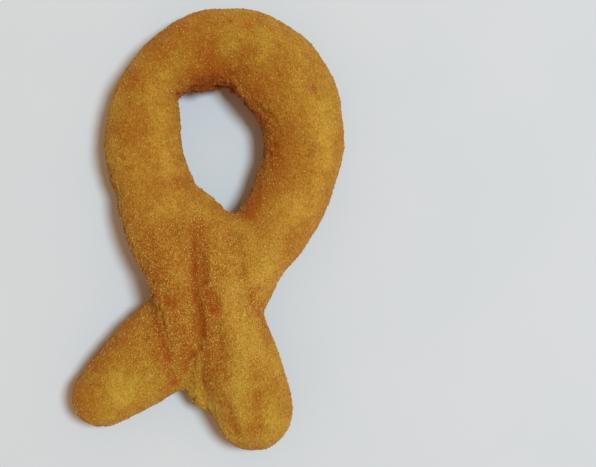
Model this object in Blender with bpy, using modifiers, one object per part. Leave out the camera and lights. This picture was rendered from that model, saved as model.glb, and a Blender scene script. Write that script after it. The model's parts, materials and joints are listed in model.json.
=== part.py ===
"""A twisted doughnut: one rope of fried dough, laid in a loop with its two ends crossed and fused.

The doughnut lies on the plane z = 0, the loop towards +Y and the two ends towards -Y.
The origin is under the middle of its box. Run it in Blender 4.5:

    blender --background --python part.py
"""

import math

import bmesh
import bpy
from mathutils import Vector

MM = 0.001
UP = Vector((0, 0, 1))

# The loop: an upright oval that the middle of the rope follows, square on one shoulder and flat on the other.
LOOP_CENTRE = Vector((5.1, 30.6)) * MM
LOOP_HALF_WIDTH = 27.3 * MM
LOOP_HALF_LENGTH = 31.2 * MM
LOOP_STARTS_AT = -20  # degrees, counted from +X and turning towards +Y
LOOP_ENDS_AT = 200
LOOP_STATIONS = 23
SQUARE_SHOULDER = {"angle": 143, "spread": 18, "by": 2.6 * MM}
FLAT_SHOULDER = {"angle": 48, "spread": 26, "by": -0.9 * MM}

# The rope of dough. It swelled unevenly in the fryer: plump on one shoulder of the loop, narrow on the other.
ROPE_RADIUS = 13.0 * MM
PLUMP = {"angle": 42, "spread": 34, "by": 2.0 * MM}
NARROW = {"angle": 141, "spread": 18, "by": -3.7 * MM}  # in width alone
FLATTENING = 0.92  # height over width of a rope that rested while it rose
SINK = 0.6 * MM  # how far the round underside is worn flat where it rests

# Stations (x, y, height of the middle, half width, half height) in millimetres, where the rope leaves the oval.
UNDER_END = ((-36.3, -56.6, 9.4, 10.6, 9.8), (-24.6, -47.0, 10.7, 14.0, 11.2), (-12.2, -37.4, 9.9, 15.6, 10.6),
             (-1.5, -28.6, 9.4, 14.4, 10.0), (7.4, -19.6, 11.2, 13.4, 11.6), (15.2, -7.2, 12.2, 12.9, 12.4),
             (24.6, 5.2, 12.0, 12.9, 12.2))
OVER_END = ((-14.6, 7.6, 12.6, 12.8, 12.0), (-4.7, 1.4, 13.6, 11.4, 10.8), (2.4, -6.8, 14.8, 10.4, 9.9),
            (4.8, -18.6, 16.0, 10.4, 9.8), (7.0, -28.8, 16.8, 11.3, 10.2), (9.8, -39.0, 16.2, 12.2, 10.8),
            (12.2, -49.4, 14.4, 13.8, 11.6), (15.3, -61.5, 11.2, 13.4, 11.4))
# The crossing twists the upper rope, which raises a fold along its outer side.
FOLD = ((-19.8, 15.0, 12.0, 11.4, 10.6), (-18.8, 5.8, 13.0, 11.0, 10.4), (-15.5, -3.6, 14.4, 10.9, 9.8),
        (-13.1, -11.4, 15.8, 9.2, 8.8), (-11.2, -20.4, 16.8, 8.2, 7.6), (-9.6, -29.0, 16.8, 7.6, 7.2),
        (-8.2, -38.8, 15.6, 7.0, 6.8), (-6.8, -47.0, 12.2, 5.8, 6.0))
# A knob of dough that squeezed out where the fold ends.
KNOB = ((-2.6, -46.0, 14.0, 5.0, 5.0), (-0.9, -54.8, 10.0, 6.0, 6.0))
# Dough that fills most of the valley between the fold and the upper rope.
VALLEY = ((-4.6, 4.0, 12.6, 5.0, 8.4), (-4.2, -6.0, 13.8, 5.0, 8.8), (-3.6, -16.0, 14.6, 4.8, 8.6),
          (-2.6, -27.0, 15.0, 4.8, 8.4), (-1.4, -38.0, 14.2, 4.8, 8.0), (0.4, -48.0, 12.4, 4.6, 7.6))
# Dough pressed up between the two ropes, on the inner side of the crossing.
WEB = ((9.2, -0.9, 12.4, 6.0, 8.8), (12.2, -8.4, 13.8, 7.2, 9.8), (13.8, -16.2, 13.8, 6.6, 9.6),
       (14.6, -23.6, 12.4, 4.6, 8.2))

SECTION_SIDES = 24
STEP = 2.0 * MM  # between the sections of a rope
TIP_SECTIONS = 7  # in each rounded end
SKIN_DETAIL = 0.9 * MM  # the grain at which the ropes are fused
SEAM_SMOOTHING = 4
UNEVENNESS = 1.3 * MM
UNEVEN_PATCH = 11 * MM
FACES_KEPT = 0.09
CUTTER_SIZE = 400 * MM


def bump(degrees, swelling):
    """A soft change of a size round one angle of the loop."""
    away = (degrees - swelling["angle"]) / swelling["spread"]
    return swelling["by"] * math.exp(-away * away)


def loop_stations():
    """(place, half width, half height) along the oval, from the under end over the top to the over end."""
    stations = []
    for i in range(LOOP_STATIONS):
        degrees = LOOP_STARTS_AT + (LOOP_ENDS_AT - LOOP_STARTS_AT) * i / (LOOP_STATIONS - 1)
        angle = math.radians(degrees)
        outwards = bump(degrees, SQUARE_SHOULDER) + bump(degrees, FLAT_SHOULDER)
        x = LOOP_CENTRE.x + (LOOP_HALF_WIDTH + outwards) * math.cos(angle)
        y = LOOP_CENTRE.y + (LOOP_HALF_LENGTH + outwards) * math.sin(angle)
        plump_radius = ROPE_RADIUS + bump(degrees, PLUMP)
        half_width = plump_radius + bump(degrees, NARROW)
        half_height = plump_radius * FLATTENING
        stations.append((Vector((x, y, half_height - SINK)), half_width, half_height))
    return stations


def in_metres(stations):
    return [(Vector((x, y, z)) * MM, width * MM, height * MM) for x, y, z, width, height in stations]


def spline_point(before, start, end, after, t):
    """A Catmull-Rom curve between start and end; works on numbers and on vectors."""
    return 0.5 * (
        2 * start
        + (end - before) * t
        + (2 * before - 5 * start + 4 * end - after) * t * t
        + (3 * start - before - 3 * end + after) * t * t * t
    )


def smoothed(stations):
    """Sections about STEP apart on one smooth curve through the stations."""
    padded = [stations[0], *stations, stations[-1]]
    sections = []
    for i in range(1, len(padded) - 2):
        places, widths, heights = zip(*padded[i - 1 : i + 3])
        count = max(1, round((places[2] - places[1]).length / STEP))
        for t in (k / count for k in range(count)):
            sections.append(tuple(spline_point(*four, t) for four in (places, widths, heights)))
    return [*sections, stations[-1]]


def with_round_tip(sections):
    """Adds the half ball that closes the last section."""
    before, (end, width, height) = sections[-2][0], sections[-1]
    outwards = (end - before).normalized()
    tip = []
    for i in range(1, TIP_SECTIONS + 1):
        angle = math.radians(85) * i / TIP_SECTIONS
        along, across = math.sin(angle), math.cos(angle)
        tip.append((end + outwards * width * along, width * across, height * across))
    return sections + tip


def add_rope(stations, into):
    """A rope of dough through the stations, round at both ends: a loft between unlike oval sections."""
    sections = with_round_tip(smoothed(stations))
    sections = with_round_tip(sections[::-1])
    turns = [2 * math.pi * k / SECTION_SIDES for k in range(SECTION_SIDES)]
    rings = []
    for i, (place, width, height) in enumerate(sections):
        ahead = sections[min(i + 1, len(sections) - 1)][0] - sections[max(i - 1, 0)][0]
        side = ahead.cross(UP).normalized()
        top = side.cross(ahead).normalized()
        corners = [place + side * width * math.cos(a) + top * height * math.sin(a) for a in turns]
        rings.append([into.verts.new(corner) for corner in corners])
    for near, far in zip(rings, rings[1:]):
        for k in range(SECTION_SIDES):
            into.faces.new((near[k - 1], near[k], far[k], far[k - 1]))
    into.faces.new(rings[0])
    into.faces.new(rings[-1])


def fused(name, ropes, collection):
    """One skin over all the ropes, with soft seams where they meet and an uneven rise."""
    joined = bmesh.new()
    for stations in ropes:
        add_rope(stations, joined)
    bmesh.ops.recalc_face_normals(joined, faces=joined.faces)
    mesh = bpy.data.meshes.new(name)
    joined.to_mesh(mesh)
    joined.free()
    made = bpy.data.objects.new(name, mesh)
    collection.objects.link(made)

    skin = made.modifiers.new("Fuse the ropes", "REMESH")
    skin.mode = "VOXEL"
    skin.voxel_size = SKIN_DETAIL
    seams = made.modifiers.new("Soften the seams", "SMOOTH")
    seams.factor = 0.5
    seams.iterations = SEAM_SMOOTHING
    uneven = made.modifiers.new("Uneven rise", "DISPLACE")
    uneven.texture = bpy.data.textures.new("Uneven rise", "CLOUDS")
    uneven.texture.noise_scale = UNEVEN_PATCH
    uneven.texture_coords = "LOCAL"
    uneven.mid_level = 0.5
    uneven.strength = UNEVENNESS
    fewer = made.modifiers.new("Fewer faces", "DECIMATE")
    fewer.ratio = FACES_KEPT
    return made


def rest_flat(obj, cutters):
    """Cuts the underside flat at z = 0, where the doughnut rests."""
    bpy.ops.mesh.primitive_cube_add(size=CUTTER_SIZE, location=(0, 0, -CUTTER_SIZE / 2))
    table = bpy.context.object
    table.name = "table_cutter"
    table.hide_render = True
    table.display_type = "WIRE"
    for collection in list(table.users_collection):
        collection.objects.unlink(table)
    cutters.objects.link(table)
    cut = obj.modifiers.new("Flat rest", "BOOLEAN")
    cut.operation = "DIFFERENCE"
    cut.solver = "EXACT"
    cut.object = table


def centre_on_origin(obj):
    """Brings the middle of the finished shape's box over the origin, which leaves its height as it is."""
    bpy.context.view_layer.update()
    box = obj.evaluated_get(bpy.context.evaluated_depsgraph_get()).bound_box
    for axis in (0, 1):
        side = [corner[axis] for corner in box]
        obj.location[axis] = -(min(side) + max(side)) / 2


def fried_crust():
    material = bpy.data.materials.new("Fried crust")
    material.use_nodes = True
    shader = material.node_tree.nodes["Principled BSDF"]
    shader.inputs["Base Color"].default_value = (0.50, 0.24, 0.035, 1)
    shader.inputs["Roughness"].default_value = 0.55
    shader.inputs["Metallic"].default_value = 0
    return material


def main():
    for obj in list(bpy.data.objects):
        bpy.data.objects.remove(obj, do_unlink=True)
    doughnut = bpy.data.collections.new("Twisted doughnut")
    cutters = bpy.data.collections.new("Cutters")
    for collection in (doughnut, cutters):
        bpy.context.scene.collection.children.link(collection)

    main_rope = in_metres(UNDER_END) + loop_stations() + in_metres(OVER_END)
    side_ropes = [in_metres(stations) for stations in (FOLD, KNOB, VALLEY, WEB)]
    dough = fused("dough", [main_rope, *side_ropes], doughnut)
    dough.data.materials.append(fried_crust())
    rest_flat(dough, cutters)
    centre_on_origin(dough)


main()
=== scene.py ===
"""A twisted doughnut: a loop of fried dough with a grainy golden crust and a dusting of fine sugar.

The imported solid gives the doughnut's place, size and form. A finer skin stands for it: smooth where the dough
rose, creased where the ropes meet, and covered with lumps, wrinkles and grit. Crumbs, grains of crust and
sugar are strewn over that skin.
"""

import json
import math
from typing import NamedTuple

import bmesh
import bpy
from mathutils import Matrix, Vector


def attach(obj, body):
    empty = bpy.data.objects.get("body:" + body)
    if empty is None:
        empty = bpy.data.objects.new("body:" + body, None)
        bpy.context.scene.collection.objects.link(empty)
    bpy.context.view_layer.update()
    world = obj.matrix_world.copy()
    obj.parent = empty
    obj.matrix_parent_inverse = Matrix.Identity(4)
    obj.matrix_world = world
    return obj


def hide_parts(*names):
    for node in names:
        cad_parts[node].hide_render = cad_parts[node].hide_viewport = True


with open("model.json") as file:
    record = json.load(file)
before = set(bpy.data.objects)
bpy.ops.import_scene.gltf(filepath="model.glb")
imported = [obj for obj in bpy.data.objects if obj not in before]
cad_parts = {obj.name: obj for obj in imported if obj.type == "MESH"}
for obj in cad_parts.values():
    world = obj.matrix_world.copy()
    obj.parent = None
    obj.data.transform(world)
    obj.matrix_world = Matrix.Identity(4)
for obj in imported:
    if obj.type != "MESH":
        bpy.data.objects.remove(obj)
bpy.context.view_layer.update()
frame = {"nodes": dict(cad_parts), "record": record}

MM = 0.001

# The skin
WELD = 0.001 * MM  # corners of the solid that are closer than this are one
FIRST_SKIN = 1.25 * MM  # grain of the skin before it is divided once more
SKIN_SMOOTHING = 10  # steps

# A dip in the skin is a hollow from the first depth on, and wholly one from the second
HOLLOW = {"from": 0.1 * MM, "to": 1.0 * MM}
HOLLOW_REACH = 40  # blur steps that tell a hollow from a rise


class Stroke(NamedTuple):
    """A soft stroke on the crust, seen from above: how far it is pressed in, and how much browner or paler it
    is painted. That colour is partly the crust's own browning and partly painted shade and painted highlights.
    """

    route: tuple  # places in plan, in mm
    reach: float  # mm to either side, of its colour
    brown: float  # paler than the rest where it is below zero
    half_width: float = 0.0  # mm, of the part that is pressed in
    depth: float = 0.0  # mm
    firm: bool = False  # even in colour out to a clear edge, and not fading from its middle


STROKES = {
    # Creases, pressed in; the brown in them is partly painted shade
    "between fold and upper rope": Stroke(
        ((-4.4, -1.5), (-4.1, -8.7), (-3.6, -16.9), (-3.1, -23.1), (-2.5, -29.3), (-1.8, -33.8),
         (-1.8, -38.0)),
        reach=1.2, brown=0.13, half_width=1.0, depth=0.6),
    "flare above the knob": Stroke(
        ((-1.6, -39.3), (-4.1, -41.3), (-6.5, -44.3), (-6.9, -46.4)),
        reach=1.3, brown=0.36, half_width=0.8, depth=0.7),
    "between fold and left end": Stroke(
        ((-16.6, -22.0), (-15.6, -27.0), (-14.6, -33.3), (-13.8, -38.0)),
        reach=1.3, brown=0.22, half_width=1.4, depth=-0.3),
    "lower between fold and left end": Stroke(
        ((-13.8, -38.6), (-12.4, -45.9), (-11.0, -50.8)), reach=1.7, brown=0.23, half_width=1.2, depth=0.8),
    "end of the cut at the waist": Stroke(((-12.4, -23.4), (-10.0, -25.4)), reach=2.2, brown=0.15),
    "cut at the waist": Stroke(
        ((-16.4, -21.0), (-13.4, -21.6), (-10.4, -23.4)), reach=1.3, brown=0.22, half_width=0.9, depth=0.4),
    "line between upper rope and right strand": Stroke(
        ((8.8, -4.0), (9.0, -7.5)), reach=0.7, brown=0.24, half_width=0.6, depth=0.3),
    "second line beside it": Stroke(
        ((12.6, -8.0), (12.4, -14.2), (14.7, -20.6), (15.3, -24.6), (17.4, -28.0)),
        reach=0.9, brown=0.26, half_width=0.8, depth=0.5),
    "left dimple of the front end": Stroke(
        ((7.6, -57.5), (8.8, -62.0), (10.2, -67.0)), reach=1.6, brown=0.22, half_width=1.8, depth=0.6),
    "right dimple of the front end": Stroke(
        ((17.2, -54.0), (17.6, -58.0), (17.4, -64.5)), reach=2.2, brown=0.14, half_width=2.4, depth=0.5),
    # Hollows and the browner patches: partly the crust's own brown, partly painted shade in hollows and on
    # flanks that face away from the lamp
    "channel beside the upper rope": Stroke(
        ((-2.0, 0.5), (-1.9, -8.7), (-1.7, -17.0)),
        reach=3.2, brown=0.27, half_width=2.9, depth=0.6, firm=True),
    "channel lower down": Stroke(
        ((-2.7, -22.4), (-2.2, -26.0), (-1.6, -30.0), (-1.0, -34.0)),
        reach=2.5, brown=0.29, half_width=1.8, depth=0.5, firm=True),
    "foot of the upper rope": Stroke(
        ((1.4, -21.0), (1.4, -30.0), (1.4, -38.0), (1.2, -50.0)),
        reach=1.5, brown=0.02, half_width=2.2, depth=-0.8),
    "blotch on the upper rope": Stroke(
        ((2.2, -21.2), (3.6, -24.0), (3.6, -26.0)),
        reach=2.2, brown=0.36, half_width=1.6, depth=0.5, firm=True),
    "notch above the lip": Stroke(
        ((-0.4, -17.6), (1.6, -16.4)), reach=1.1, brown=0.16, half_width=0.9, depth=0.4),
    "tail of the blotch": Stroke(((4.4, -27.0), (4.8, -31.6)), reach=2.2, brown=0.18),
    "lower flank of the upper rope": Stroke(
        ((2.8, -39.6), (2.4, -44.0), (1.2, -50.0)), reach=3.1, brown=0.20, firm=True),
    "below that flank": Stroke(((6.2, -37.0), (6.8, -41.0)), reach=2.2, brown=0.16),
    "lowest part of that flank": Stroke(((5.4, -46.0), (8.4, -47.2)), reach=2.0, brown=0.17),
    "dip in the front crest": Stroke(((13.8, -43.5), (14.4, -45.0)), reach=1.8, brown=0.12),
    "lower end of the fold": Stroke(((-6.6, -32.0), (-6.4, -40.0)), reach=2.8, brown=0.32),
    "left waist": Stroke(((-18.0, -2.0), (-14.0, -14.0)), reach=3.8, brown=0.26),
    "along the fold": Stroke(
        ((-8.0, 1.0), (-9.5, -10.0), (-8.0, -18.0), (-8.5, -27.0)), reach=3.0, brown=0.10),
    "lower left of the fold": Stroke(((-11.0, -25.0), (-12.4, -36.0), (-11.0, -43.5)), reach=2.2, brown=0.17),
    "right waist": Stroke(((18.6, -26.0), (18.4, -30.0), (20.8, -36.0)), reach=1.6, brown=0.26),
    "fold at the waist": Stroke(((-15.0, -16.0), (-7.0, -21.0)), reach=3.0, brown=0.10),
    "left end beside the fold": Stroke(((-17.6, -28.6), (-16.4, -34.0)), reach=2.0, brown=0.18),
    "left end lower beside the fold": Stroke(((-18.6, -38.0), (-16.0, -43.0)), reach=2.2, brown=0.11),
    "tip of the left end": Stroke(((-43.0, -52.0), (-41.0, -59.0)), reach=3.2, brown=0.16),
    "rim of the left end": Stroke(((-37.0, -44.0), (-31.5, -38.0), (-21.0, -28.0)), reach=3.2, brown=0.25),
    "inside of that rim": Stroke(((-21.6, -36.0), (-20.4, -34.6)), reach=1.9, brown=0.18),
    "right rim of the left end": Stroke(((-13.0, -52.5), (-9.0, -51.0)), reach=2.2, brown=0.20),
    "inner flank low on the right": Stroke(((14.6, 5.0), (16.0, 8.5), (17.6, 12.0)), reach=2.8, brown=0.36),
    "beside that flank": Stroke(((17.0, 5.0), (22.0, 3.6)), reach=2.4, brown=0.10),
    "lower edge of the hole": Stroke(((-8.0, 17.0), (-4.0, 12.0)), reach=2.6, brown=0.16),
    "foot of the hole": Stroke(((3.6, 7.4), (8.0, 6.0), (12.0, 5.2)), reach=1.9, brown=0.24),
    "top of the loop": Stroke(((-15.0, 60.0), (-5.0, 65.0), (1.0, 57.0)), reach=6.5, brown=0.25),
    "crown of the loop": Stroke(((-7.0, 70.0), (0.0, 70.0)), reach=4.0, brown=0.15),
    "above the hole": Stroke(((-2.4, 50.2), (2.6, 50.2)), reach=2.9, brown=0.28),
    "short of the top crest": Stroke(((1.4, 55.6), (3.4, 59.4)), reach=1.8, brown=0.13),
    "line across the left strand": Stroke(
        ((-18.0, 13.6), (-11.0, 15.0), (-5.4, 16.4)), reach=1.2, brown=0.15),
    "right of the crown": Stroke(((14.6, 67.8), (17.4, 68.6)), reach=1.9, brown=0.30),
    "beside the top crest": Stroke(((12.0, 57.2), (17.6, 58.4)), reach=2.0, brown=0.13),
    "inside of the upper right": Stroke(((20.0, 48.0), (23.6, 47.6)), reach=2.4, brown=0.10),
    "upper right side of the loop": Stroke(((8.0, 56.0), (12.0, 52.0)), reach=3.0, brown=0.10),
    "right side of the loop": Stroke(((22.0, 27.0), (26.5, 26.0), (24.6, 17.0)), reach=4.0, brown=0.12),
    "left side of the loop": Stroke(((-28.0, 34.0), (-24.5, 30.0)), reach=3.2, brown=0.20),
    "left side higher up": Stroke(((-26.5, 47.0), (-22.5, 52.0)), reach=3.0, brown=0.18),
    # Raised lips and crumbly edges
    "lip of the upper rope": Stroke(
        ((-2.2, -22.0), (-0.9, -19.0), (1.4, -17.6)), reach=0.8, brown=-0.06, half_width=0.9, depth=-0.5),
    "crumbly edge of the knob": Stroke(
        ((-2.1, -40.5), (-2.6, -46.0), (-2.8, -52.0)), reach=1.0, brown=-0.10, half_width=1.2, depth=-0.8),
    "foot of the knob": Stroke(((-4.6, -54.0), (-1.8, -57.0), (1.2, -58.6)), reach=2.5, brown=-0.30),
    "crumbly edge of the fold": Stroke(
        ((-13.6, -25.6), (-11.8, -29.0), (-12.2, -33.0)), reach=1.0, brown=-0.16, half_width=1.0, depth=-0.6),
    "right edge of the fold": Stroke(
        ((-8.6, -2.0), (-8.4, -9.0), (-7.8, -17.0), (-7.0, -24.0), (-5.6, -31.0)), reach=2.0, brown=-0.06,
        half_width=2.2, depth=-0.4),
    # Paler crests: mostly painted highlights where they face the lamp, and painted light on rims that face away
    # from it
    "right crest": Stroke(
        ((37.0, 44.0), (39.4, 40.0), (40.6, 34.0), (40.0, 27.0), (39.0, 23.0)), reach=3.0, brown=-0.38),
    "upper right crest": Stroke(
        ((31.0, 52.0), (31.0, 45.0), (28.0, 39.0), (24.2, 35.0)), reach=2.5, brown=-0.16),
    "inner corner of the hole": Stroke(((9.5, 49.0), (12.6, 45.0)), reach=1.6, brown=-0.18),
    "inner right edge of the hole": Stroke(((17.6, 38.4), (18.6, 36.4)), reach=1.4, brown=-0.12),
    "middle of the right crest": Stroke(((35.0, 36.0), (37.0, 33.0)), reach=3.4, brown=-0.30),
    "low on the right crest": Stroke(((38.2, 15.0), (36.0, 10.0), (33.0, 6.0)), reach=2.6, brown=-0.22),
    "beside the low right crest": Stroke(((34.6, 13.6), (29.6, 11.0), (30.4, 2.6)), reach=2.2, brown=-0.18),
    "crest of the right strand": Stroke(
        ((28.0, 9.0), (24.0, 0.0), (22.0, -8.0), (17.5, -14.0)),
        reach=3.4, brown=-0.32, half_width=5.0, depth=-0.5),
    "low on the right strand": Stroke(((21.6, -12.6), (23.6, -14.2)), reach=1.9, brown=-0.16),
    "left crest": Stroke(((-13.0, 51.0), (-18.0, 47.0), (-17.0, 40.0)), reach=3.2, brown=-0.22),
    "left shoulder": Stroke(((-23.0, 58.0), (-22.0, 56.0)), reach=3.0, brown=-0.16),
    "left rim": Stroke(((-30.5, 40.0), (-29.5, 38.0)), reach=3.0, brown=-0.16),
    "left rim lower down": Stroke(((-32.0, 24.4), (-27.0, 23.5)), reach=2.2, brown=-0.22),
    "left streak": Stroke(((-15.0, 35.0), (-14.0, 28.0), (-13.0, 21.0)), reach=2.6, brown=-0.18),
    "top crest": Stroke(((18.0, 67.0), (21.5, 64.0), (19.5, 58.0)), reach=3.4, brown=-0.20),
    "left of the top crest": Stroke(((5.6, 59.8), (8.4, 60.4)), reach=2.1, brown=-0.34),
    "middle of the top": Stroke(((-5.2, 58.6), (-4.2, 61.6)), reach=1.9, brown=-0.18),
    "above the line on the left": Stroke(((-13.0, 18.2), (-9.2, 18.8)), reach=1.5, brown=-0.13),
    "under the hole": Stroke(((-4.0, 7.0), (0.6, 4.6)), reach=1.8, brown=-0.10),
    "under the line on the left": Stroke(((-11.5, 11.9), (-4.4, 12.8)), reach=1.6, brown=-0.15),
    "beside the left rim": Stroke(((-23.6, 24.2), (-22.8, 16.8)), reach=1.4, brown=-0.14),
    "above the crossing": Stroke(((-16.0, 5.0), (-12.0, 9.0), (-8.0, 5.0)), reach=3.6, brown=-0.20),
    "web of the crossing": Stroke(((11.0, 2.0), (14.5, 0.5), (15.5, -3.0)), reach=2.8, brown=-0.26),
    "right of the crossing": Stroke(((6.0, -7.0), (14.0, -9.0), (21.0, -13.0)), reach=5.0, brown=-0.12),
    "under the right strand": Stroke(((6.4, -20.0), (12.4, -21.0), (16.6, -18.8)), reach=2.2, brown=-0.13),
    "crest of the front end": Stroke(
        ((8.6, -19.0), (10.0, -30.4), (13.4, -40.5), (11.0, -50.0), (11.6, -60.0)), reach=3.2, brown=-0.34,
        half_width=5.5, depth=-0.8),
    "bright spot of the front end": Stroke(((13.4, -38.6), (15.8, -38.0)), reach=2.1, brown=-0.18),
    "across the front end": Stroke(((11.0, -50.6), (19.0, -50.8)), reach=1.6, brown=-0.12),
    "right side of the front end": Stroke(
        ((15.5, -31.0), (17.5, -38.0), (22.0, -46.0)), reach=2.6, brown=-0.24),
    "tip's right side": Stroke(((20.0, -58.0), (23.0, -65.0)), reach=4.0, brown=-0.24),
    "tip's left side": Stroke(((1.8, -60.0), (3.8, -64.0), (6.8, -69.4)), reach=2.4, brown=-0.58),
    "crest of the left end": Stroke(
        ((-29.4, -50.0), (-29.4, -55.0), (-25.4, -56.0), (-24.4, -51.0)), reach=3.5, brown=-0.35),
    "beside the crest of the left end": Stroke(((-35.0, -56.0), (-32.4, -60.4)), reach=2.2, brown=-0.13),
    "foot of the left end": Stroke(((-17.5, -50.0), (-14.5, -51.0)), reach=2.2, brown=-0.14),
    "crest of the fold": Stroke(
        ((-14.0, -1.0), (-13.0, -11.0), (-10.5, -20.0), (-9.5, -30.0), (-9.0, -38.0)), reach=3.0, brown=-0.04,
        half_width=3.4, depth=-0.7),
}

# Edges that frayed: the route of each in plan, in mm
RAGGED_EDGES = {
    "left strand": ((-33.0, 24.0), (-30.0, 10.0), (-26.5, -2.0), (-21.0, -12.0), (-16.5, -21.0)),
    "left edge of the hole": ((-12.0, 44.0), (-11.2, 36.0), (-10.6, 26.0)),
    "lower left edge of the hole": ((-10.5, 21.0), (-5.5, 13.5), (1.0, 8.5), (6.0, 6.5)),
    "ridge of the knob": ((-2.2, -42.0), (-2.7, -52.0)),
    "left edge of the fold": ((-13.2, -25.0), (-12.6, -34.0)),
    "tip of the knob": ((-6.5, -53.0), (-3.0, -59.5), (2.0, -61.0)),
}
RAGGED_REACH = 3.2  # mm to either side

# Small slits: the place of each, in mm; the dark brown in them is painted shade
PITS = ((36.9, 44.2), (35.8, 46.6), (23.0, 28.4), (8.0, 69.4), (4.9, -57.6), (7.5, -67.5), (-27.5, 24.0))
PIT = {"reach": 0.65, "brown": 0.40, "half_width": 0.6, "depth": 0.35}
PIT_SLANT = 0.5  # mm from the middle of a slit to either end, along each axis

# Strokes are seen from above: how far the skin faces up where they begin, and where they are full
PRESSED_IF_UP = {"from": 0.05, "to": 0.5}
BROWNED_IF_UP = {"from": -0.5, "to": 0.1}

# Painted light: steep skin that faces away from the lamp, towards -X, is painted paler to lift its shade
PAINTED_LIGHT_ON_SHADED_SIDE = {"towards": (-1, 0, 0), "from": 0.55, "to": 1.0, "by": 0.16}

# The flank of the loop that faces its middle is painted brown as shade on its side away from the lamp. At the
# top its lower part is torn, and painted brown as shade too.
INNER_FLANK = {"all of it": 24 * MM, "none": 34 * MM}  # from the middle of the hole
FACING_MIDDLE = {"from": 0.1, "to": 0.9}
SHADED_SIDE = {"towards": (0.7, 0.7, 0), "from": -0.45, "to": 0.6}
TOP_SIDE = {"towards": (0, 1, 0), "from": 0.55, "to": 0.85}
TORN_HEIGHT = {"all of it": 13 * MM, "none": 19 * MM}

# Where the ropes cross, the skin is stretched into fine lines that run with them
CROSSING = (-3 * MM, -24 * MM)
CROSSING_REACH = {"all of it": 14 * MM, "none": 36 * MM}
CROSSING_TURN = -9  # degrees, from the way the lines run to +Y
LINE_SHAPE = (1, 8, 2)  # across, along and in height

# The torn and stretched skin about the crossing held more sugar, and it gets more painted glints
GRAINY_REACH = {"all of it": 16 * MM, "none": 48 * MM}
# The brownest skin fried smooth, and few grains stayed on it; painted shade counts towards it too
SMOOTH_IF_BROWN = {"from": 0.2, "to": 0.5, "by": 0.75}

# How much each of these adds to the brown; for the hollow, the inner flank and the torn lip it is painted shade
BROWNED_AND_SHADED_BY = {"hollow": 0.15, "inner flank": 0.28, "torn lip": 0.3, "stretched lines": 0.5}

# Sizes of the crust's relief
CRUST_SIZES = {
    "Lump Height": 0.35 * MM,
    "Lump Size": 9.0 * MM,
    "Wrinkle Height": 0.30 * MM,
    "Wrinkle Size": 3.2 * MM,
    "Grit Height": 0.28 * MM,
    "Grit Size": 1.1 * MM,
    "Ragged Height": 1.3 * MM,
    "Ragged Size": 1.7 * MM,
    "Torn Height": 3.0 * MM,
    "Torn Size": 3.0 * MM,
    "Stretched Height": 0.45 * MM,
    "Stretched Size": 1.3 * MM,
    "Hollow Fill": 0.45,
}

# Grains strewn on the crust
CRUMB_SIZES = {
    "Grain Size": 0.58 * MM,
    "Per Square Metre": 0.55e6,
    "More If Grainy": 0.4,
    "Clear Of Table": 1.0 * MM,
}
GRIT_SIZES = {
    "Grain Size": 0.30 * MM,
    "Per Square Metre": 1.6e6,
    "More If Grainy": 0.9,
    "Clear Of Table": 0.8 * MM,
}
SUGAR_SIZES = {
    "Grain Size": 0.28 * MM,
    "Per Square Metre": 0.22e6,
    "More If Grainy": 3.5,
    "Clear Of Table": 1.0 * MM,
}
# They lie in drifts, and each is stretched its own way
DRIFT = {"size": 5 * MM, "from": 0.2, "to": 0.7, "thickest": 1.5}
GRAIN_STRETCH = {"least": (0.5, 0.5, 0.5), "most": (1.4, 1.2, 1.0)}

# The light: a large soft lamp high on the right, and a faint warm fill
KEY_ELEVATION = 69  # degrees
KEY_TURN = 12  # degrees from +X towards +Y
KEY_DISTANCE = 3.0
KEY_SIZE = 0.8
KEY_POWER = 65.0  # watts
KEY_COLOUR = (0.70, 0.895, 1.015)
FILL_COLOUR = (1.0, 0.61, 0.37)
FILL_STRENGTH = 0.42

TABLE_SIZE = 6.0

# The camera looks straight down from above the middle of the part of the table that it shows
VIEW_WIDTH = 201.3 * MM
VIEW_CENTRE = (30.7 * MM, -1.2 * MM)
VIEW_HEIGHT = 12 * MM  # above the table, where VIEW_WIDTH holds
LENS = 85  # mm
SENSOR_WIDTH = 36  # mm
NEAREST_SEEN = 10 * MM


class Value:
    """An output of a node tree. Arithmetic on it adds Math nodes to its tree."""

    def __init__(self, net, socket):
        self.net = net
        self.socket = socket

    def __add__(self, other):
        return self.net.math("ADD", self, other)

    def __sub__(self, other):
        return self.net.math("SUBTRACT", self, other)

    def __rsub__(self, other):
        return self.net.math("SUBTRACT", other, self)

    def __mul__(self, other):
        return self.net.math("MULTIPLY", self, other)

    def __truediv__(self, other):
        return self.net.math("DIVIDE", self, other)

    def __rtruediv__(self, other):
        return self.net.math("DIVIDE", other, self)

    def __neg__(self):
        return self * -1

    __radd__ = __add__


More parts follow.
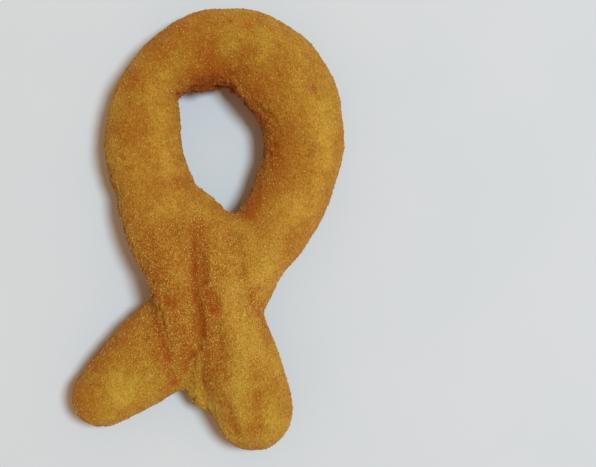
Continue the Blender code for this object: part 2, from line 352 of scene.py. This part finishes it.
class Net:
    """A node tree, of a material or of a shape, that is written as expressions."""

    def __init__(self, tree):
        self.tree = tree

    def node(self, kind, settings=None, inputs=None, output=0):
        """Adds a node with its settings and its sockets' values or links. Gives one of its outputs."""
        made = self.tree.nodes.new(kind)
        for name, value in (settings or {}).items():
            if name == "stops":
                self.set_stops(made.color_ramp, value)
            else:
                setattr(made, name, value)
        for name, value in (inputs or {}).items():
            socket = made.inputs[name]
            if isinstance(value, Value):
                self.tree.links.new(value.socket, socket)
            else:
                socket.default_value = value
        return Value(self, made.outputs[output]) if made.outputs else made

    @staticmethod
    def set_stops(ramp, stops):
        while len(ramp.elements) < len(stops):
            ramp.elements.new(1)
        for element, (place, colour) in zip(ramp.elements, stops):
            element.position = place
            element.color = (*colour, 1)

    def math(self, operation, *terms):
        return self.node("ShaderNodeMath", {"operation": operation}, dict(enumerate(terms)))

    def vector(self, operation, *terms, output=0):
        return self.node("ShaderNodeVectorMath", {"operation": operation}, dict(enumerate(terms)), output)

    def scaled(self, vector, factor):
        return self.node("ShaderNodeVectorMath", {"operation": "SCALE"}, {0: vector, "Scale": factor})

    def dot(self, first, second):
        return self.vector("DOT_PRODUCT", first, second, output="Value")

    def height(self, vector):
        return self.node("ShaderNodeSeparateXYZ", inputs={"Vector": vector}, output="Z")

    def rise(self, value, low, high):
        """0 below low, 1 above high, and a smooth slope between."""
        inputs = {"Value": value, "From Min": low, "From Max": high}
        return self.node("ShaderNodeMapRange", {"interpolation_type": "SMOOTHSTEP"}, inputs)

    def towards(self, direction, side):
        """How far a direction goes towards a side: 0 up to where the side begins, and 1 where it is full."""
        return self.rise(self.dot(direction, side["towards"]), side["from"], side["to"])

    def within(self, away, reach):
        """1 up to the whole of a reach, and 0 out of it."""
        return 1 - self.rise(away, reach["all of it"], reach["none"])

    def mix(self, share, first, second, blend="MIX"):
        """A colour between two."""
        settings = {"data_type": "RGBA", "blend_type": blend}
        return self.node("ShaderNodeMix", settings, {0: share, 6: first, 7: second}, output=2)

    def noise(self, size, at, detail=2.0, roughness=0.5, seed=0.0):
        """Soft noise about 0.5, with features of that size in metres."""
        inputs = {"Vector": at, "W": seed, "Scale": 1 / size, "Detail": detail, "Roughness": roughness}
        return self.node("ShaderNodeTexNoise", {"noise_dimensions": "4D"}, inputs)


def linked(name, data):
    """A new object in the scene."""
    made = bpy.data.objects.new(name, data)
    bpy.context.scene.collection.objects.link(made)
    return made


def material_net(name):
    material = bpy.data.materials.new(name)
    material.use_nodes = True
    material.node_tree.nodes.clear()
    return material, Net(material.node_tree)


def finish_material(net, shader_inputs):
    shader = net.node("ShaderNodeBsdfPrincipled", inputs=shader_inputs)
    net.node("ShaderNodeOutputMaterial", inputs={"Surface": shader})


# ------------------------------------------------------------------ finishes

# From the palest crust to the brownest
CRUST_COLOURS = (
    (0.000, (0.670, 0.414, 0.054)),
    (0.200, (0.590, 0.329, 0.036)),
    (0.376, (0.510, 0.236, 0.025)),
    (0.584, (0.466, 0.155, 0.015)),
    (0.800, (0.420, 0.099, 0.009)),
    (1.000, (0.280, 0.060, 0.006)),
)
BROWNEST = 1.25  # the browning that gives the last of them
PLAIN_BROWNING = 0.47  # of crust with no stroke on it
# The crust is a little more orange about the middle of the doughnut than at its ends
ORANGER_ABOUT_THE_MIDDLE = {
    "at": (16 * MM, 0, 12 * MM),
    "all of it": 26 * MM,
    "none": 68 * MM,
    "tint": (1.0, 0.895, 0.96, 1),
}

# How the browning and the brightness of the crust vary from place to place
PATCHES = {"size": 12 * MM, "by": 0.4}
MOTTLE = {"size": 3.6 * MM, "by": 0.8}
SPECKLE = {"size": 0.5 * MM, "by": 1.2, "less if grainy": 0.4}
SPARKLE = {"size": 0.42 * MM, "more if grainy": 0.45, "darker if grainy": 0.05, "brightness": 0.99}
# Painted glints: bright golden spots in the crust's colour that stand for the sparkle of sugar
GLINTS = {"size": 0.3 * MM, "from": 0.54, "to": 0.75, "by": 0.8}
DRAWN_OUT = (1, 2, 1)  # the shape of a speckle or a glint

# The relief that is too fine for the skin, and the crust's uneven gloss
FINE_BUMPS = {"depth": 0.9 * MM, "grain": 0.62 * MM, "grain by": 0.7, "grit": 0.35 * MM, "grit by": 0.5}
CRUST_GLOSS = {"size": 1.6 * MM, "roughness": 0.58, "by": 0.4}

GRAIN_GOLD = (0.720, 0.420, 0.070)
GLINT_GOLD = (0.900, 0.590, 0.090)
SUGAR_GOLD = (0.850, 0.560, 0.140)

TABLE_COLOURS = ((0.74, 0.79, 0.82, 1), (0.77, 0.81, 0.83, 1))
TABLE_CLOUDS = {"size": 60 * MM, "from": 0.2, "to": 0.8}


def attribute(net, name):
    return net.node("ShaderNodeAttribute", {"attribute_name": name}, output="Fac")


def crust_colour(net, at):
    """Golden where the dough rose and where highlights are painted, orange-brown in patches, and browner with
    painted shade in the hollows.
    """
    browning = attribute(net, "browning")
    grainy = attribute(net, "graininess")
    drawn_out = net.vector("DIVIDE", at, DRAWN_OUT)
    patches = net.noise(PATCHES["size"], at, detail=3, seed=1.3) - 0.5
    mottle = net.noise(MOTTLE["size"], at, detail=4, roughness=0.6, seed=4.1) - 0.5
    speckle = net.noise(SPECKLE["size"], drawn_out, detail=2, roughness=0.7, seed=7.7) - 0.5
    speckle = speckle * (SPECKLE["by"] - grainy * SPECKLE["less if grainy"])
    uneven = patches * PATCHES["by"] + mottle * MOTTLE["by"] + speckle
    share = (uneven + browning + PLAIN_BROWNING) / BROWNEST
    colour = net.node("ShaderNodeValToRGB", {"stops": CRUST_COLOURS}, {"Fac": share})

    away = net.vector("DISTANCE", at, ORANGER_ABOUT_THE_MIDDLE["at"], output="Value")
    colour = net.mix(net.within(away, ORANGER_ABOUT_THE_MIDDLE), colour, ORANGER_ABOUT_THE_MIDDLE["tint"], blend="MULTIPLY")

    sparkle = net.noise(SPARKLE["size"], at, detail=1, seed=12.3) - 0.5
    sparkle = sparkle * (1 + grainy * SPARKLE["more if grainy"])
    colour = net.scaled(colour, SPARKLE["brightness"] + sparkle - grainy * SPARKLE["darker if grainy"])
    # painted glints, mixed into the colour
    glints = net.noise(GLINTS["size"], drawn_out, detail=1, seed=17.9)
    glints = net.rise(glints, GLINTS["from"], GLINTS["to"]) * grainy * GLINTS["by"]
    return net.mix(glints, colour, (*GLINT_GOLD, 1))


def fried_crust():
    material, net = material_net("Fried crust")
    at = net.node("ShaderNodeTexCoord", output="Object")
    cell_inputs = {"Vector": at, "Scale": 1 / FINE_BUMPS["grain"]}
    grain = 1 - net.node("ShaderNodeTexVoronoi", {"feature": "SMOOTH_F1"}, cell_inputs)
    grit = net.noise(FINE_BUMPS["grit"], at, detail=2, roughness=0.6, seed=2.2)
    height = grain * FINE_BUMPS["grain by"] + grit * FINE_BUMPS["grit by"]
    bump_inputs = {"Strength": 1.0, "Distance": FINE_BUMPS["depth"], "Height": height}
    gloss = net.noise(CRUST_GLOSS["size"], at, detail=2, seed=9.0) - 0.5
    finish_material(net, {
        "Base Color": crust_colour(net, at),
        "Roughness": CRUST_GLOSS["roughness"] + gloss * CRUST_GLOSS["by"],
        "Normal": net.node("ShaderNodeBump", inputs=bump_inputs),
        "Diffuse Roughness": 1.0,
        "Sheen Weight": 0.18,
        "Sheen Roughness": 0.5,
        "Sheen Tint": (1.0, 0.55, 0.16, 1),
        "Specular IOR Level": 0.14,
        "Specular Tint": (1.0, 0.75, 0.38, 1),
    })
    return material


def strewn_grain(name, lit_colour, lit_from, roughness, gloss):
    """Grains coloured as the crust under them, apart from those that are lit up by their own sugar or oil."""
    material, net = material_net(name)
    at = net.node("ShaderNodeTexCoord", output="Object")
    lit = net.rise(attribute(net, "tone"), lit_from, 1.0)
    finish_material(net, {
        "Base Color": net.mix(lit, crust_colour(net, at), (*lit_colour, 1)),
        "Roughness": roughness,
        "Specular IOR Level": gloss,
        "Specular Tint": (1.0, 0.80, 0.45, 1),
    })
    return material


def pale_table():
    material, net = material_net("Pale table")
    at = net.node("ShaderNodeTexCoord", output="Object")
    clouds = net.rise(net.noise(TABLE_CLOUDS["size"], at), TABLE_CLOUDS["from"], TABLE_CLOUDS["to"])
    colour = net.mix(clouds, *TABLE_COLOURS)
    finish_material(net, {"Base Color": colour, "Roughness": 0.7, "Specular IOR Level": 0.15})
    return material


# ------------------------------------------------------------------ the crust

def finished(name, obj):
    """Turns an object and its modifiers into one with a plain mesh."""
    mesh = bpy.data.meshes.new_from_object(obj.evaluated_get(bpy.context.evaluated_depsgraph_get()))
    bpy.data.objects.remove(obj, do_unlink=True)
    mesh.name = name
    return linked(name, mesh)


def smooth_skin(node):
    """The solid's form as an even skin, without the solid's facets."""
    mesh = node.data.copy()
    welded = bmesh.new()
    welded.from_mesh(mesh)
    bmesh.ops.remove_doubles(welded, verts=welded.verts, dist=WELD)
    welded.to_mesh(mesh)
    welded.free()
    mesh.materials.clear()
    skin = linked("skin", mesh)

    even = skin.modifiers.new("Even skin", "REMESH")
    even.mode = "VOXEL"
    even.voxel_size = FIRST_SKIN
    smooth = skin.modifiers.new("Lose the facets", "SMOOTH")
    smooth.factor = 0.5
    smooth.iterations = SKIN_SMOOTHING
    finer = skin.modifiers.new("Finer", "SUBSURF")
    finer.levels = finer.render_levels = 1
    return finished("skin", skin)


def shape_tree(name, sizes):
    """A geometry tree with a named input for each size. Gives the tree, its net and its inputs by name."""
    tree = bpy.data.node_groups.new(name, "GeometryNodeTree")
    add_socket = tree.interface.new_socket
    add_socket("Geometry", in_out="INPUT", socket_type="NodeSocketGeometry")
    for size in sizes:
        add_socket(size, in_out="INPUT", socket_type="NodeSocketFloat")
    add_socket("Geometry", in_out="OUTPUT", socket_type="NodeSocketGeometry")
    net = Net(tree)
    entry = tree.nodes.new("NodeGroupInput")
    given = {socket.name: Value(net, socket) for socket in entry.outputs if socket.name}
    return tree, net, given


def end_tree(net, shape, material):
    """Realizes the shape and gives it its finish."""
    whole = net.node("GeometryNodeRealizeInstances", inputs={"Geometry": shape})
    covered = net.node("GeometryNodeSetMaterial", inputs={"Geometry": whole, "Material": material})
    net.node("NodeGroupOutput", inputs={"Geometry": covered})


def grow(name, base, tree, sizes):
    """Runs a geometry tree on a copy of a base object, and gives the result as a plain object."""
    carrier = linked("carrier", base.data.copy())
    modifier = carrier.modifiers.new(tree.name, "NODES")
    modifier.node_group = tree
    for socket in tree.interface.items_tree:
        if socket.in_out == "INPUT" and socket.name in sizes:
            modifier[socket.identifier] = sizes[socket.name]
    return finished(name, carrier)


def noted(net, shape, name, value, domain="POINT"):
    """A shape with a number noted on each of its points or instances."""
    settings = {"data_type": "FLOAT", "domain": domain}
    inputs = {"Geometry": shape, "Name": name, "Value": value}
    return net.node("GeometryNodeStoreNamedAttribute", settings, inputs)


def stroke_curve(name, route):
    """A smooth curve along a stroke, laid flat at z = 0."""
    curve = bpy.data.curves.new(name, "CURVE")
    curve.dimensions = "3D"
    spline = curve.splines.new("NURBS")
    spline.points.add(len(route) - 1)
    for point, (x, y) in zip(spline.points, route):
        point.co = (x * MM, y * MM, 0, 1)
    spline.order_u = min(3, len(route))
    spline.use_endpoint_u = True
    return linked(name, curve)


def in_plan(net, place):
    """A place with its height left out."""
    return net.vector("MULTIPLY", place, (1, 1, 0))


def distance_to(net, place, curve):
    """How far each place is, in plan, from a curve laid at z = 0."""
    line = net.node("GeometryNodeObjectInfo", inputs={"Object": curve}, output="Geometry")
    run = net.node("GeometryNodeCurveToMesh", inputs={"Curve": line})
    inputs = {"Target": run, "Source Position": in_plan(net, place)}
    return net.node("GeometryNodeProximity", {"target_element": "EDGES"}, inputs, output="Distance")


def fading(net, away, reach, firm=False):
    """1 on a line and 0 well past its reach."""
    share = away / (reach * MM)
    share = share * share
    return net.math("EXPONENT", -(share * share if firm else share))


def stroke_fields(net, place, up, curves, strokes):
    """How deep the strokes press in each place, in metres, and how much browner or paler they paint it, partly
    as painted shade and painted highlights.
    """
    depth, browning = 0.0, 0.0
    for curve in curves:
        stroke = strokes[curve.name]
        away = distance_to(net, place, curve)
        browning = fading(net, away, stroke.reach, stroke.firm) * stroke.brown + browning
        if stroke.depth:
            depth = fading(net, away, stroke.half_width, stroke.firm) * (stroke.depth * MM) + depth
    depth = depth * net.rise(up, PRESSED_IF_UP["from"], PRESSED_IF_UP["to"])
    return depth, browning * net.rise(up, BROWNED_IF_UP["from"], BROWNED_IF_UP["to"])


def frayed(net, place, curves):
    """Where the edges frayed: 1 on them, from top to bottom."""
    spots = 0.0
    for curve in curves:
        spots = fading(net, distance_to(net, place, curve), RAGGED_REACH) + spots
    return spots


def inner_flank(net, place, normal):
    """How much each place is flank in shade, to be painted brown as shade, how much it is torn lip, and its way
    to the middle of the hole.
    """
    low, high = (Vector(corner) for corner in frame["record"]["physics"]["openings"][0]["box_m"])
    outwards = in_plan(net, net.vector("SUBTRACT", place, tuple((low + high) / 2)))
    direction = net.vector("NORMALIZE", outwards)
    facing = net.rise(-net.dot(direction, normal), FACING_MIDDLE["from"], FACING_MIDDLE["to"])
    facing = facing * net.within(net.vector("LENGTH", outwards, output="Value"), INNER_FLANK)
    # painted shade: the side of the flank that faces away from the lamp
    brown = facing * net.towards(direction, SHADED_SIDE)
    torn = facing * net.towards(direction, TOP_SIDE) * net.within(net.height(place), TORN_HEIGHT)
    return brown, torn, net.scaled(direction, -1.0)


def nearness(net, place, middle, reach):
    """1 about a place in plan, and 0 out of its reach."""
    away = in_plan(net, net.vector("SUBTRACT", place, (*middle, 0)))
    return net.within(net.vector("LENGTH", away, output="Value"), reach)


def smoothness(net, browning):
    """1 where the crust is so brown, painted shade included, that it is taken as smooth."""
    return net.rise(browning, SMOOTH_IF_BROWN["from"], SMOOTH_IF_BROWN["to"])


def stretched_skin(net, place, given):
    """Fine lines that run down the crossing: how brown they are, and how high, in metres."""
    turn = {"Vector": place, "Angle": math.radians(CROSSING_TURN)}
    along = net.node("ShaderNodeVectorRotate", {"rotation_type": "Z_AXIS"}, turn)
    wave = net.noise(given["Stretched Size"], net.vector("DIVIDE", along, LINE_SHAPE), seed=20.0)
    lines = (wave - 0.5) * nearness(net, place, CROSSING, CROSSING_REACH)
    return -lines, lines * 2 * given["Stretched Height"]


def crust_tree(material, curves, strokes, edges):
    """Fills the deepest hollows, presses the creases in, and raises lumps, wrinkles and grit on the skin."""
    tree, net, given = shape_tree("Crust relief", CRUST_SIZES)
    place = net.node("GeometryNodeInputPosition")
    normal = net.node("GeometryNodeInputNormal")
    pressed, browned_and_painted_light = stroke_fields(net, place, net.height(normal), curves, strokes)

    blur_inputs = {"Value": place, "Iterations": HOLLOW_REACH}
    levelled = net.node("GeometryNodeBlurAttribute", {"data_type": "FLOAT_VECTOR"}, blur_inputs)
    inwards = net.vector("SUBTRACT", levelled, place)
    hollow = net.rise(net.dot(inwards, normal), HOLLOW["from"], HOLLOW["to"])
    flank, torn, to_middle = inner_flank(net, place, normal)
    crossing = nearness(net, place, CROSSING, GRAINY_REACH)
    # painted light that lifts the shade on steep skin facing away from the lamp
    painted_side_light = net.towards(normal, PAINTED_LIGHT_ON_SHADED_SIDE) * (1 - hollow) * (1 - crossing)
    lines, stretched = stretched_skin(net, place, given)

    # painted shade in the hollows
    browned_and_painted_light = browned_and_painted_light + hollow * BROWNED_AND_SHADED_BY["hollow"]
    # painted shade on the flank of the loop and on its torn lip
    browned_and_painted_light = browned_and_painted_light + flank * BROWNED_AND_SHADED_BY["inner flank"]
    browned_and_painted_light = browned_and_painted_light + torn * BROWNED_AND_SHADED_BY["torn lip"]
    browned_and_painted_light = browned_and_painted_light + lines * BROWNED_AND_SHADED_BY["stretched lines"]
    # the painted light makes the crust paler there
    browned_and_painted_light = browned_and_painted_light - painted_side_light * PAINTED_LIGHT_ON_SHADED_SIDE["by"]
    coloured = noted(net, given["Geometry"], "browning", browned_and_painted_light)
    coloured = noted(net, coloured, "graininess", crossing * (1 - smoothness(net, browned_and_painted_light)))

    def relief(kind, detail, seed):
        """Soft bumps up and down, in metres."""
        wave = net.noise(given[kind + " Size"], place, detail=detail, seed=seed)
        return (wave - 0.5) * 2 * given[kind + " Height"]

    raised = relief("Lump", 1, seed=5.0) + relief("Wrinkle", 2, seed=8.0) + relief("Grit", 1, seed=11.0)
    raised = raised + relief("Ragged", 2, seed=14.0) * (flank + frayed(net, place, edges))
    raised = raised + stretched - pressed
    filled = net.vector("ADD", place, net.scaled(inwards, hollow * given["Hollow Fill"]))
    moved = net.vector("ADD", filled, net.scaled(normal, raised))
    moved = net.vector("ADD", moved, net.scaled(to_middle, torn * relief("Torn", 2, seed=17.0)))
    above_table = net.vector("MAXIMUM", moved, (-1, -1, 0))
    shape = net.node("GeometryNodeSetPosition", inputs={"Geometry": coloured, "Position": above_table})
    end_tree(net, net.node("GeometryNodeSetShadeSmooth", inputs={"Geometry": shape}), material)
    return tree


def make_crust(material):
    skin = smooth_skin(frame["nodes"]["dough"])
    strokes = dict(STROKES)
    for number, (x, y) in enumerate(PITS):
        slit = ((x - PIT_SLANT, y + PIT_SLANT), (x + PIT_SLANT, y - PIT_SLANT))
        strokes[f"pit {number}"] = Stroke(slit, **PIT)
    curves = [stroke_curve(name, stroke.route) for name, stroke in strokes.items()]
    edges = [stroke_curve(name, route) for name, route in RAGGED_EDGES.items()]
    crust = grow("crust", skin, crust_tree(material, curves, strokes, edges), CRUST_SIZES)
    for helper in (skin, *curves, *edges):
        bpy.data.objects.remove(helper, do_unlink=True)
    return crust


# ------------------------------------------------------------------ the grains

def sharp_grain(net):
    """A grain with four faces, for a grain size of 1."""
    cone = {"Vertices": 3, "Radius Top": 0, "Radius Bottom": 0.6, "Depth": 0.8}
    return net.node("GeometryNodeMeshCone", inputs=cone)


def split_grain(net):
    """A grain with eight faces, for a grain size of 1."""
    return net.node("GeometryNodeMeshUVSphere", inputs={"Segments": 4, "Rings": 2, "Radius": 0.6})


def blocky_grain(net):
    """A grain like a block, for a grain size of 1."""
    return net.node("GeometryNodeMeshCube", inputs={"Size": (1, 1, 1)})


def random_values(net, kind, low, high, seed):
    output = 0 if kind == "FLOAT_VECTOR" else 1
    inputs = {"Min": low, "Max": high, "Seed": seed}
    return net.node("FunctionNodeRandomValue", {"data_type": kind}, inputs, output)


def on_crust(net, name):
    """A number that is noted on the crust."""
    return net.node("GeometryNodeInputNamedAttribute", {"data_type": "FLOAT"}, {"Name": name})


def grain_tree(name, sizes, grain_shape, material, seed):
    """Grains strewn at random, half sunk in the crust, each turned, sized and toned at random."""
    tree, net, given = shape_tree(name, sizes)
    place = net.node("GeometryNodeInputPosition")
    above_inputs = {"A": net.height(place), "B": given["Clear Of Table"]}
    above = net.node("FunctionNodeCompare", {"operation": "GREATER_THAN"}, above_inputs)
    drift = net.rise(net.noise(DRIFT["size"], place, seed=seed), DRIFT["from"], DRIFT["to"])
    drift = drift * (1 + on_crust(net, "graininess") * given["More If Grainy"])
    drift = drift * (1 - smoothness(net, on_crust(net, "browning")) * SMOOTH_IF_BROWN["by"])
    density = given["Per Square Metre"] * drift * DRIFT["thickest"]
    points = net.node(
        "GeometryNodeDistributePointsOnFaces",
        {"distribute_method": "RANDOM"},
        {"Mesh": given["Geometry"], "Selection": above, "Density": density, "Seed": seed},
    )
    turn = random_values(net, "FLOAT_VECTOR", (0, 0, 0), (math.tau, math.tau, math.tau), seed + 1)
    stretch = random_values(net, "FLOAT_VECTOR", GRAIN_STRETCH["least"], GRAIN_STRETCH["most"], seed + 2)
    tone = random_values(net, "FLOAT", 0.0, 1.0, seed + 3)
    size = net.scaled(stretch, given["Grain Size"])
    grain_inputs = {"Points": points, "Instance": grain_shape(net), "Rotation": turn, "Scale": size}
    grains = net.node("GeometryNodeInstanceOnPoints", inputs=grain_inputs)
    end_tree(net, noted(net, grains, "tone", tone, domain="INSTANCE"), material)
    return tree


def make_grains(name, crust, sizes, grain_shape, material, seed):
    grains = grow(name, crust, grain_tree(name, sizes, grain_shape, material, seed), sizes)
    grains.data.materials.pop(index=0)  # the crust's own finish
    return grains


# ------------------------------------------------------------------ table, light and camera

def make_table(material):
    bpy.ops.mesh.primitive_plane_add(size=TABLE_SIZE)
    table = bpy.context.object
    table.name = "table"
    table.data.materials.append(material)


def add_key_lamp():
    lamp = bpy.data.lights.new("key lamp", "AREA")
    lamp.shape = "DISK"
    lamp.size = KEY_SIZE
    lamp.energy = KEY_POWER
    lamp.color = KEY_COLOUR
    elevation = math.radians(KEY_ELEVATION)
    turn = math.radians(KEY_TURN)
    flat = KEY_DISTANCE * math.cos(elevation)
    made = linked("key lamp", lamp)
    made.location = (flat * math.cos(turn), flat * math.sin(turn), KEY_DISTANCE * math.sin(elevation))
    made.rotation_euler = (-made.location).to_track_quat("-Z", "Y").to_euler()


def add_fill():
    world = bpy.data.worlds.new("Soft room")
    world.use_nodes = True
    background = world.node_tree.nodes["Background"]
    background.inputs["Color"].default_value = (*FILL_COLOUR, 1)
    background.inputs["Strength"].default_value = FILL_STRENGTH
    bpy.context.scene.world = world


def place_camera():
    data = bpy.data.cameras.new("camera")
    data.lens = LENS
    data.sensor_width = SENSOR_WIDTH
    data.clip_start = NEAREST_SEEN
    camera = linked("camera", data)
    distance = VIEW_WIDTH * LENS / SENSOR_WIDTH
    camera.location = (*VIEW_CENTRE, VIEW_HEIGHT + distance)
    bpy.context.scene.camera = camera
    bpy.context.scene.view_settings.view_transform = "Standard"


place_camera()
add_key_lamp()
add_fill()
make_table(pale_table())

crust = make_crust(fried_crust())
crumb_look = strewn_grain("Crumb", GRAIN_GOLD, lit_from=0.6, roughness=0.6, gloss=0.1)
crumbs = make_grains("crumbs", crust, CRUMB_SIZES, split_grain, crumb_look, seed=11)
grit_look = strewn_grain("Crust grit", GRAIN_GOLD, lit_from=0.5, roughness=0.6, gloss=0.1)
grit = make_grains("grit", crust, GRIT_SIZES, sharp_grain, grit_look, seed=47)
sugar_look = strewn_grain("Golden sugar", SUGAR_GOLD, lit_from=0.0, roughness=0.35, gloss=0.2)
sugar = make_grains("sugar", crust, SUGAR_SIZES, blocky_grain, sugar_look, seed=29)
for piece, slot in ((crust, "crust"), (crumbs, "crust"), (grit, "crust"), (sugar, "sugar")):
    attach(piece, "root")
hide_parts("dough")
